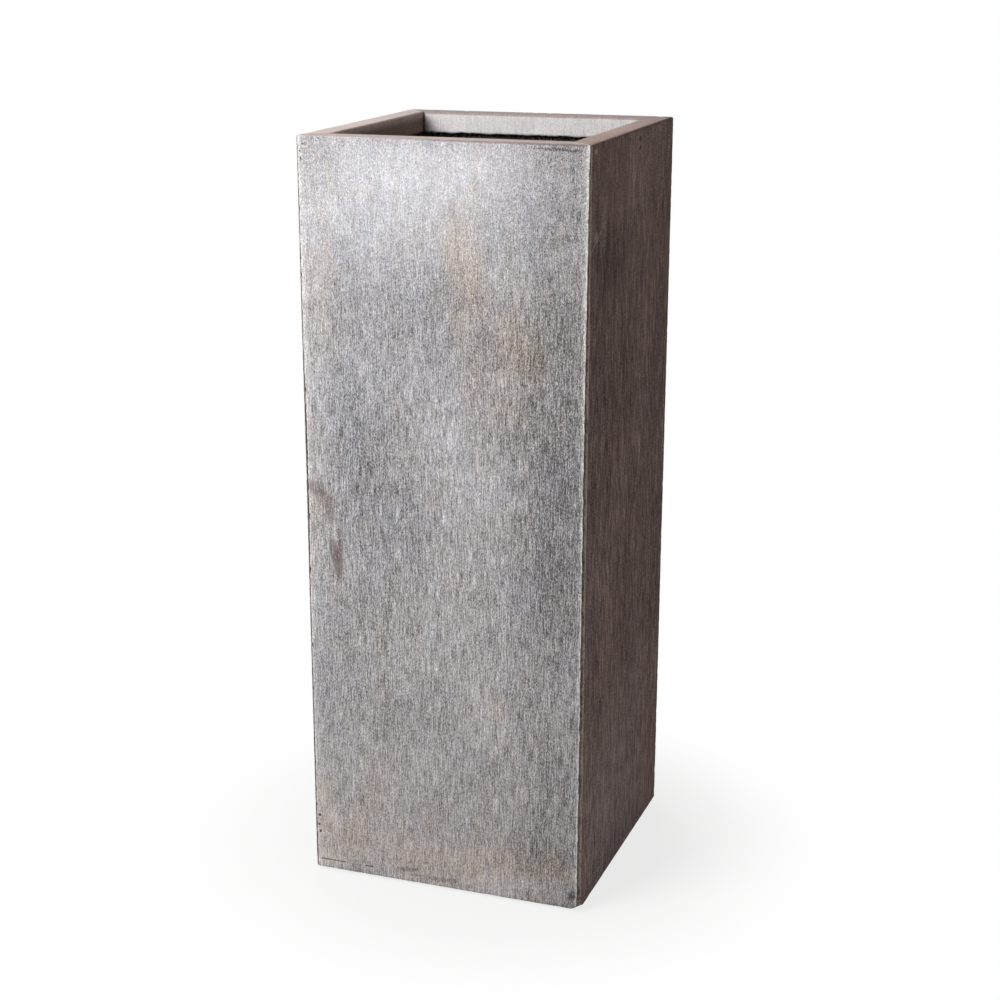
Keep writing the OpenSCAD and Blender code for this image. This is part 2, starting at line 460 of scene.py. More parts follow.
def makeMortarForm():
    form, wall = mortarForm, panelForm
    mitreBack = wall["jointGap"] / math.sqrt(2)
    rimUnder = rimTop - wall["rimThickness"]
    top = rimTop - form["lowerBy"]
    half = wall["jointGap"] / 2
    tip, tipHalf = diagonal(grooveMouth, 0)
    rootAt = diagonal(wall["grooveDepth"] + mitreBack, wall["grooveDepth"])[0]
    innerAt = diagonal(wall["wall"] + mitreBack, wall["wall"])[0]
    lipOuterAt = diagonal(wall["wall"] + wall["hollow"] + mitreBack, wall["wall"] + wall["hollow"])[0]
    lipInnerAt = diagonal(rimWidth, rimWidth)[0] - form["lowerBy"]
    piece = addBlock("mortar_form", (rootAt, -half, wallFoot), (innerAt, half, top))
    pickFaces(piece, lambda c, n: n.x < -0.9)
    extrudeBy((tip - rootAt, 0, 0))
    spread = tipHalf / half
    bpy.ops.transform.resize(value=(1, spread, 1), center_override=(tip, 0, (wallFoot + top) / 2))
    sliceAt((0, 0, rimUnder), (0, 0, 1))
    pickFaces(piece, lambda c, n: n.x > 0.9 and c.z > rimUnder)
    extrudeBy((lipOuterAt - innerAt, 0, 0))
    extrudeBy((lipInnerAt - lipOuterAt, 0, 0))
    pickFaces(piece, lambda c, n: n.z < -0.9 and c.x > lipOuterAt and c.z > rimUnder - 0.001)
    extrudeBy((0, 0, form["lipShort"] - wall["lipDrop"]))
    pickEdges(piece, lambda a, b: near(a.z, top) and near(b.z, top) and near(a.x, tip) and near(b.x, tip))
    bpy.ops.mesh.bevel(offset=wall["edgeRadius"], segments=wall["edgeSegments"], affect="EDGES")

    # columns and rows on the pointing
    pickEdges(piece, lambda a, b: a.x < tip + form["pointing"] and near(a.x, b.x) and near(a.z, b.z))
    bpy.ops.mesh.subdivide(number_cuts=form["columns"])
    zoneStep = (rimUnder - wallFoot) / form["rowZones"]
    for zone in range(1, form["rowZones"]):
        sliceAt((0, 0, wallFoot + zone * zoneStep), (0, 0, 1))
    for zone in range(form["rowZones"]):
        low = wallFoot + zone * zoneStep
        pickEdges(piece, lambda a, b: low < (a.z + b.z) / 2 < low + zoneStep and near(a.x, b.x)
                  and near(a.y, b.y))
        bpy.ops.mesh.subdivide(number_cuts=form["rows"])
    bpy.ops.object.mode_set(mode="OBJECT")
    return piece


def makeCoveForm():
    # the upright fillet between two walls, in the front left corner's place
    form = mortarForm
    low = -halfWidth + panelForm["wall"]
    foot = slabTop + form["coveLeg"] - 0.001
    rootTop = rimTop - panelForm["rimThickness"] - panelForm["rootRadius"]
    piece = addBlock("cove_form", (low, low, foot), (low + form["coveLeg"], low + form["coveLeg"], rootTop))
    nook = low + form["coveLeg"]
    pickEdges(piece, lambda a, b: all(near(place, nook) for place in (a.x, a.y, b.x, b.y)))
    bpy.ops.mesh.bevel(offset=form["coveLeg"] * 0.97, segments=form["coveSegments"],
                       profile=form["covePinch"], affect="EDGES")
    pickEdges(piece, lambda a, b: near(a.x, b.x) and near(a.y, b.y) and abs(a.z - b.z) > 0.1)
    bpy.ops.mesh.subdivide(number_cuts=form["coveRows"])
    bpy.ops.object.mode_set(mode="OBJECT")
    for vertex in piece.data.vertices:
        x, y, z = vertex.co
        if x + y > 2 * low + 0.004:
            push = sum(deep * noise.noise((x * often, y * often, z * perZ))
                       for deep, often, perZ in form["coveWaves"])
            vertex.co.x += push
            vertex.co.y += push
    return piece


def wearMortar(piece, corner):
    # follows the worn ends of the two panels, and is rough and pitted between them
    form = mortarForm
    tip, tipHalf = diagonal(grooveMouth, 0)
    pointingEnd = tip + form["pointing"]
    rootAt = diagonal(panelForm["grooveDepth"], panelForm["grooveDepth"])[0]
    lipAt = diagonal(rimWidth, rimWidth)[0] - form["lowerBy"]
    seed = 50.0 + 7 * cornerNames.index(corner)
    holesAcross, holesUp, holesLevel = form["holes"]
    rimDeep, rimOften = form["rimSink"]
    for vertex in piece.data.vertices:
        x, y, z = vertex.co
        if x < pointingEnd:
            share = 1 - (x - tip) / (rootAt - tip)
            t = clamp(y / tipHalf, -1.0, 1.0)
            legs = arrisLeg(corner, -1, z), arrisLeg(corner, 1, z)
            middle = (legs[0] + legs[1]) / 2
            leg = middle + (legs[0 if t < 0 else 1] - middle) * abs(t)
            outX, outY = diagonal(leg, 0)
            width = leg / grooveMouth
            rough = sum(amount * unitNoise(seed + step, t * perT, z * perZ)
                        for step, (amount, perT, perZ) in ((0, form["coarse"]), (3, form["fine"])))
            sunk = form["sunkEdge"] + form["rough"] * rough * min(form["roughMost"], width)
            hole = bite(seed + 6, t * holesAcross, z * holesUp, holesLevel)
            sunk += form["holeDepth"] * hole * min(form["holeMost"], width)
            vertex.co.x = x + (outX - tip) * share + sunk
            vertex.co.y = t * (outY - form["sideGap"])
        elif x > rootAt - 0.001 and z > rimTop - 0.002:
            vertex.co.z -= rimDeep * unitNoise(x * rimOften, seed, 2.0)
        if x > lipAt - 0.001:
            vertex.co.x -= form["lipGap"][corner]


mortarBase = makeMortarForm()
coveBase = makeCoveForm()
mortars = {}
for index, corner in enumerate(cornerNames):
    mortar = copyPiece(mortarBase, corner + "_pointing")
    wearMortar(mortar, corner)
    mortar.data.transform(Matrix.Rotation(math.radians(45), 4, "Z"))
    mortar.data.transform(Matrix.Translation((-halfWidth, -halfWidth, 0)))
    cove = copyPiece(coveBase, corner + "_cove")
    bpy.ops.object.select_all(action="DESELECT")
    cove.select_set(True)
    mortar.select_set(True)
    bpy.context.view_layer.objects.active = mortar
    bpy.ops.object.join()
    mortar.data.transform(Matrix.Rotation(math.radians(90 * index), 4, "Z"))
    mortars[corner] = mortar
bpy.data.objects.remove(mortarBase)
bpy.data.objects.remove(coveBase)
print("corner mortars:", len(mortars["front_left"].data.polygons), "faces each")


# Base slab with its drain hole, and the mortar bed that the panels stand on
baseForm = {
    "slabEdge": 0.002,
    "cornerLegs": {"front_left": 0.0026, "front_right": 0.0046, "back_right": 0.0045, "back_left": 0.0040},
    "brokenFront": 0.0125,  # the foot corner knocked off at the front right: along the front,
    "brokenSide": 0.0200,   # along the side
    "brokenUp": 0.0100,     # and up
    "columns": 120,
    "rows": 6,
    "drainRadius": 0.0125,
    "outerBand": 0.003,     # how far in from the outside the slab's wear reaches
    "footReach": 0.004,     # how far up the wear of its foot reaches
    "wornOften": 60,
    "chips": (130, 0.2),
    "edgeSink": 0.0002,     # inward over the whole edge, inward at the foot, and up at the foot
    "footSink": (0.0004, 0.0022),
    "footRise": (0.0002, 0.0014),
    "rake": 0.0002,         # how far the bed stands back where it is flush
    "openRake": 0.0015,     # and where it has fallen out
    "openPatches": (0.85, 1.6, 180, 0.35),
    "openRagged": (0.0015, 300),
    "bedSink": (0.0002, 200),
    "coveWave": (0.0007, 60),
    "coveLeg": 0.010,
    "covePinch": 0.14,
    "openJoints": {         # stretches across a side (m) where the joint has opened
        "front": [(0.008, 0.042), (0.077, 0.083)],
        "right": [(0.050, 0.085), (0.210, 0.226)],
        "back": [(0.090, 0.140), (0.300, 0.330)],
        "left": [(0.030, 0.046), (0.180, 0.240)],
    },
}


def cornerSigns(corner):
    return (1 if "right" in corner else -1), (1 if "back" in corner else -1)


def cutCorners(piece, segments):
    # one bevel for each upright corner edge
    for corner, leg in baseForm["cornerLegs"].items():
        signX, signY = cornerSigns(corner)

        def isCorner(a, b):
            upright = near(a.x, b.x) and near(a.y, b.y)
            return upright and a.x * signX > halfWidth - 0.001 and a.y * signY > halfWidth - 0.001

        pickEdges(piece, isCorner)
        bpy.ops.mesh.bevel(offset=leg, segments=segments, affect="EDGES")


def makeSlab():
    form = baseForm
    w = halfWidth
    piece = addBlock("base_slab_cast", (-w, -w, slabFoot), (w, w, slabTop))
    cutCorners(piece, 1)
    pickEdges(piece, lambda a, b: near(a.z, slabFoot) and near(b.z, slabFoot))
    bpy.ops.mesh.bevel(offset=form["slabEdge"], segments=4, affect="EDGES")
    bpy.ops.object.mode_set(mode="OBJECT")
    bpy.ops.mesh.primitive_cylinder_add(vertices=64, radius=form["drainRadius"], depth=0.05,
                                        location=(0, 0, slabTop))
    core = bpy.context.active_object
    bpy.context.view_layer.objects.active = piece
    cut = piece.modifiers.new("drain", "BOOLEAN")
    cut.operation = "DIFFERENCE"
    cut.solver = "EXACT"
    cut.object = core
    bpy.ops.object.modifier_apply(modifier="drain")
    bpy.data.objects.remove(core)
    bpy.ops.object.select_all(action="DESELECT")
    piece.select_set(True)
    bpy.ops.object.mode_set(mode="EDIT")

    def isLong(a, b):
        straight = near(a.z, b.z) and (near(a.x, b.x) or near(a.y, b.y))
        outside = all(max(abs(end.x), abs(end.y)) > w - form["outerBand"] for end in (a, b))
        return straight and outside and (a - b).length > 0.2

    pickEdges(piece, isLong)
    bpy.ops.mesh.subdivide(number_cuts=form["columns"] // 2 - 1)
    pickEdges(piece, lambda a, b: near(a.x, b.x) and near(a.y, b.y) and abs(a.z - b.z) > 0.008
              and max(abs(a.x), abs(a.y)) > 0.1)
    bpy.ops.mesh.subdivide(number_cuts=form["rows"])
    front, side, up = form["brokenFront"], form["brokenSide"], form["brokenUp"]
    sliceAt((w - front, -w, slabFoot), (side * up, -front * up, -side * front), "behind")
    bpy.ops.object.mode_set(mode="OBJECT")
    return piece


def pushIn(vertex, inward, reach):
    # moves what lies on an outer face inward
    x, y, z = vertex.co
    if abs(x) > halfWidth - reach:
        vertex.co.x -= math.copysign(inward, x)
    if abs(y) > halfWidth - reach:
        vertex.co.y -= math.copysign(inward, y)


def wearSlab(piece):
    form = baseForm
    often, level = form["chips"]
    for vertex in piece.data.vertices:
        x, y, z = vertex.co
        if max(abs(x), abs(y)) < halfWidth - form["outerBand"]:
            continue
        low = max(0.0, 1 - (z - slabFoot) / form["footReach"])
        worn = unitNoise(x * form["wornOften"], y * form["wornOften"], 3.0)
        chip = bite(x * often, y * often, 5.0, level)
        inFoot, upFoot = (a * worn + b * chip for a, b in (form["footSink"], form["footRise"]))
        pushIn(vertex, form["edgeSink"] * worn + low * inFoot, 0.0005)
        vertex.co.z += low * upFoot


def makeBed():
    form = baseForm
    outer = halfWidth - form["rake"]
    wallInside = halfWidth - panelForm["wall"]
    piece = addBlock("base_bed_pointing", (-outer, -outer, slabTop), (outer, outer, wallFoot))
    pickFaces(piece, lambda c, n: abs(n.z) > 0.9)
    bpy.ops.mesh.inset(thickness=outer - wallInside)
    bpy.ops.mesh.inset(thickness=form["coveLeg"])
    bpy.ops.mesh.bridge_edge_loops()
    toNook = wallInside - form["coveLeg"]

    def isCoveTop(c, n):
        reach = max(abs(c.x), abs(c.y))
        return n.z > 0.9 and toNook < reach < wallInside

    pickFaces(piece, isCoveTop)
    extrudeBy((0, 0, form["coveLeg"] - (wallFoot - slabTop)))
    nookTop = slabTop + form["coveLeg"]

    def isNook(a, b):
        onTop = near(a.z, nookTop) and near(b.z, nookTop)
        inside = all(max(abs(end.x), abs(end.y)) < wallInside - 0.004 for end in (a, b))
        return onTop and inside

    pickEdges(piece, isNook)
    bpy.ops.mesh.bevel(offset=form["coveLeg"] * 0.95, segments=5, profile=form["covePinch"], affect="EDGES")
    cutCorners(piece, 1)
    pickEdges(piece, lambda a, b: (a - b).length > 0.3)
    bpy.ops.mesh.subdivide(number_cuts=99)
    bpy.ops.object.mode_set(mode="OBJECT")
    return piece


def wearBed(piece):
    # the joint is flush, but for a few open stretches
    form = baseForm
    least, patchShare, patchOften, patchFloor = form["openPatches"]
    raggedBy, raggedOften = form["openRagged"]
    bedDeep, bedOften = form["bedSink"]
    waveDeep, waveOften = form["coveWave"]
    for vertex in piece.data.vertices:
        x, y, z = vertex.co
        if z < wallFoot + 0.0001 and max(abs(x), abs(y)) > halfWidth - 0.001:
            side = sideAt(x, y)
            across = (x, y, -x, -y)[side] + halfWidth
            across += raggedBy * noise.noise((across * raggedOften, 1.0, 2.0))
            stretches = form["openJoints"][sideNames[side]]
            patchy = clamp(least + patchShare * noise.noise((across * patchOften, 4.0, 5.0)), patchFloor)
            opened = any(low < across < high for low, high in stretches)
            inward = (form["openRake"] - form["rake"]) * patchy if opened else 0.0
            pushIn(vertex, inward + bedDeep * unitNoise(x * bedOften, y * bedOften, z), 0.001)
        elif z > wallFoot + 0.0005:
            push = waveDeep * noise.noise((x * waveOften, y * waveOften, z * waveOften))
            vertex.co += Vector((-x, -y, 0)).normalized() * abs(push)


slab = makeSlab()
wearSlab(slab)
bed = makeBed()
wearBed(bed)
print("base: slab", len(slab.data.polygons), "faces, bed", len(bed.data.polygons), "faces")


class Wire:
    # a socket that takes part in Python's sums; each sum adds its Math node
    def __init__(self, tree, socket):
        self.tree = tree
        self.socket = socket

    def join(self, operation, first, second):
        return self.tree.add("ShaderNodeMath", {"operation": operation}, {0: first, 1: second})

    def __add__(self, other):
        return self.join("ADD", self, other)

    def __radd__(self, other):
        return self.join("ADD", other, self)

    def __sub__(self, other):
        return self.join("SUBTRACT", self, other)

    def __rsub__(self, other):
        return self.join("SUBTRACT", other, self)

    def __mul__(self, other):
        return self.join("MULTIPLY", self, other)

    def __rmul__(self, other):
        return self.join("MULTIPLY", other, self)

    def atLeast(self, other):
        return self.join("MAXIMUM", self, other)

    def atMost(self, other):
        return self.join("MINIMUM", self, other)

    def size(self):
        return self.tree.add("ShaderNodeMath", {"operation": "ABSOLUTE"}, {0: self})

    def between(self, low, high):
        # low where this is 0, and high where it is 1
        return self * (high - low) + low


class Tree:
    # the nodes of a material or a world; every node comes from add
    def __init__(self, owner):
        owner.use_nodes = True
        self.nodes = owner.node_tree.nodes
        self.links = owner.node_tree.links

    def fill(self, node, inputs):
        for key, value in inputs.items():
            if isinstance(value, Wire):
                self.links.new(value.socket, node.inputs[key])
            else:
                node.inputs[key].default_value = value

    def add(self, kind, settings, inputs, output=0):
        node = self.nodes.new(kind)
        for key, value in settings.items():
            setattr(node, key, value)
        self.fill(node, inputs)
        return Wire(self, node.outputs[output])

    def ray(self, kind):
        # 1 for light paths of one kind
        return self.add("ShaderNodeLightPath", {}, {}, "Is " + kind + " Ray")


class Finish(Tree):
    # a material with one shader, and short ways to colour it
    def __init__(self, name, specular):
        self.material = bpy.data.materials.new(name)
        super().__init__(self.material)
        self.shader = self.nodes["Principled BSDF"]
        self.fill(self.shader, {"Specular IOR Level": specular})

    def place(self, turn=0.0):
        # object coordinates in millimetres, turned so that the side faces the front
        spot = self.add("ShaderNodeTexCoord", {}, {}, "Object")
        return self.add("ShaderNodeMapping", {"vector_type": "POINT"}, {
            "Vector": spot, "Rotation": (0, 0, -turn), "Scale": (1000, 1000, 1000)})

    def split(self, vector):
        node = self.add("ShaderNodeSeparateXYZ", {}, {"Vector": vector}).socket.node
        return [Wire(self, socket) for socket in node.outputs]

    def join(self, x=0, y=0, z=0):
        return self.add("ShaderNodeCombineXYZ", {}, {"X": x, "Y": y, "Z": z})

    def vector(self, operation, first, second, output=0):
        return self.add("ShaderNodeVectorMath", {"operation": operation}, {0: first, 1: second}, output)

    def grain(self, place, period, seed, detail=2.0, rough=0.5):
        # noise from about -1 to 1; the period is its size in mm along each axis
        spread = self.vector("DIVIDE", place, period)
        moved = self.vector("ADD", spread, (seed, seed * 0.7, seed * 1.3))
        value = self.add("ShaderNodeTexNoise", {"noise_dimensions": "3D"}, {
            "Vector": moved, "Scale": 1.0, "Detail": detail, "Roughness": rough})
        return (value - 0.5) * 3.2

    def grains(self, look, place, step=0):
        # one noise for each entry of a look
        return [self.grain(place, period, look["seed"] + step + more, detail, rough)
                for period, more, detail, rough in look["grains"].values()]

    def step(self, value, low, high):
        # 0 below low, 1 above high, with a soft change between
        return self.add("ShaderNodeMapRange", {"interpolation_type": "SMOOTHSTEP"}, {
            "Value": value, "From Min": low, "From Max": high})

    def plain(self, colour):
        # one colour as a wire
        return self.join(*colour[:3])

    def blend(self, factor, first, second):
        return self.add("ShaderNodeMix", {"data_type": "RGBA"}, {"Factor": factor, 6: first, 7: second}, 2)

    def tint(self, colour, value):
        return self.add("ShaderNodeVectorMath", {"operation": "SCALE"}, {0: colour, "Scale": value})

    def spot(self, place, x, z, width, height):
        # a soft patch, 1 in its middle, at millimetres across and up
        away = self.vector("SUBTRACT", place, (x, 0, z))
        scaled = self.vector("MULTIPLY", away, (1 / width, 0, 1 / height))
        reach = self.add("ShaderNodeVectorMath", {"operation": "LENGTH"}, {0: scaled}, "Value")
        return self.step(reach, 1.0, 0.0)

    def mark(self, place, x, z, width, height, lean):
        # a soft stroke, 1 along its middle; it leans sideways by this much for each millimetre up
        away = self.vector("SUBTRACT", place, (x, 0, z))
        aside = self.dot(away, (1 / width, 0, -lean / width))
        up = self.dot(away, (0, 0, 1 / height))
        return self.step(aside * aside + up * up, 1.0, 0.0)

    def dot(self, first, second):
        return self.vector("DOT_PRODUCT", first, second, "Value")

    def shade(self, colour, roughness, height, strength, distance):
        bump = self.add("ShaderNodeBump", {}, {"Strength": strength, "Distance": distance, "Height": height})
        self.fill(self.shader, {"Base Color": colour, "Roughness": roughness, "Normal": bump})
        return self.material


# The brushed concrete of all sides. Zones: in mm, from where a mask is 0 to where it is 1. Steps: the same,
# on noise. Grains, here and in the looks below: the size of a noise in mm along each axis, the step of its
# seed, its detail and its roughness. Shares: how much each thing counts. Ranges: the factor where a zone is 0,
# and where it is 1. Shifts: how far noise moves an outline or a stroke (mm)
concrete = {
    "cool": (0.376, 0.380, 0.408, 1),
    "warm": (0.412, 0.360, 0.318, 1),
    # the two browner tones below belong to the right side: partly the concrete's own, partly painted shade
    "earthAndShadeCool": (0.370, 0.315, 0.318, 1),
    "earthAndShadeWarm": (0.370, 0.262, 0.236, 1),
    "rust": (0.165, 0.128, 0.122, 1),
    "chalk": (0.62, 0.605, 0.59, 1),
    "tan": (0.34, 0.275, 0.235, 1),
    "crust": (0.085, 0.062, 0.055, 1),
    "specular": 0.06,
    "bump": (0.22, 0.00025),
    "zones": {
        "outside": (4.0, 2.0), "rim": (998.3, 999.3), "lip": (23.0, 26.0),
        "wallInside": (9.0, 11.0), "lipBack": (22.0, 20.0), "underRim": (990.0, 986.0),
        "strokes": (1060.0, 640.0), "coarse": (60.0, 420.0), "warmFoot": (430.0, 120.0),
        "darkRightAndShade": (255.0, 340.0), "edge": (12.0, 5.0), "foot": (7.5, 5.0), "nook": (142.0, 156.0),
        "brow": (1.5, 0.8), "browAcross": (90.0, 230.0), "lit": (-300.0, 1100.0),
    },
    "steps": {
        "stain": (0.12, 0.85), "crusted": (-0.3, 0.5), "line": (0.22, 0.66), "ring": (0.02, 0.3),
        "hole": (0.40, 0.70), "specks": (0.7, 1.4), "pore": (-1.15, -1.9),
    },
    "browHeight": 998.6,
    "grains": {
        "fine": ((1.16, 1.16, 3.4), 0, 2.0, 0.62), "strokes": ((1.26, 1.26, 26), 1, 2.0, 0.6),
        "bands": ((7, 7, 90), 2, 2.0, 0.5), "speckle": ((1.2, 1.2, 1.7), 3, 2.0, 0.65),
        "mottle": ((13, 13, 22), 4, 3.0, 0.6), "drift": ((60, 60, 90), 5, 2.0, 0.5),
        "clouds": ((85, 85, 150), 6, 3.0, 0.55), "sweep": ((20, 20, 170), 7, 2.0, 0.5),
        "warmClouds": ((110, 110, 190), 8, 2.0, 0.5), "warmStrokes": ((3.5, 3.5, 60), 9, 2.0, 0.5),
        "edgeWander": ((26, 26, 20), 10, 3.0, 0.6), "warmMottle": ((24, 24, 46), 11, 3.0, 0.6),
    },
    "shares": {
        "fine": 0.66, "strokes": 0.70, "bands": 0.60, "speckle": 1.12, "speckleLess": 0.60, "skew": 0.20,
        "clouds": 0.14, "warmClouds": 0.25, "warmStrokes": 0.17, "warmMottle": 0.27, "warmFoot": 0.14,
        "patchSpread": 1.4, "markSpread": 1.5, "stainSpread": 1.6, "foot": 0.20, "hollow": 0.58,
        "hollowShadeWarm": 0.40, "nook": 0.80, "brow": 0.50, "line": 0.75, "holeRing": 0.30, "dustRing": 0.75,
        "hole": 0.90, "pore": 0.30, "ragged": 0.16, "markSpeckle": 0.5, "hollowMottle": 0.05,
        "stainMottle": 0.5, "stainTexture": 1.8, "stainMost": 0.92, "stainWorn": 0.6,
        "lineMottle": 0.20, "lineSpeckle": 0.30, "lineTexture": 0.8, "holeSpread": 2.8,
    },
    "ranges": {"strokes": (0.4, 1.0), "coarse": (0.86, 1.0), "lit": (0.90, 1.05)},
    "shifts": {
        "brush": 1.6, "across": (14, 4), "up": (9, 16), "dark": (10, 8), "edge": 3.6, "lip": 0.4,
        "nook": (6, 5),
    },
    "rimMix": {"texture": 0.45, "mottle": 0.10, "clouds": 0.08},
    "rough": {"plain": 0.84, "fine": 0.05, "speckle": 0.04, "line": 0.06},
    "roughMost": 0.97,
    "relief": {"fine": 0.5, "strokes": 0.6, "speckle": 0.5, "pore": 1.2, "mottle": 0.8},
    "darkest": 0.25,
}
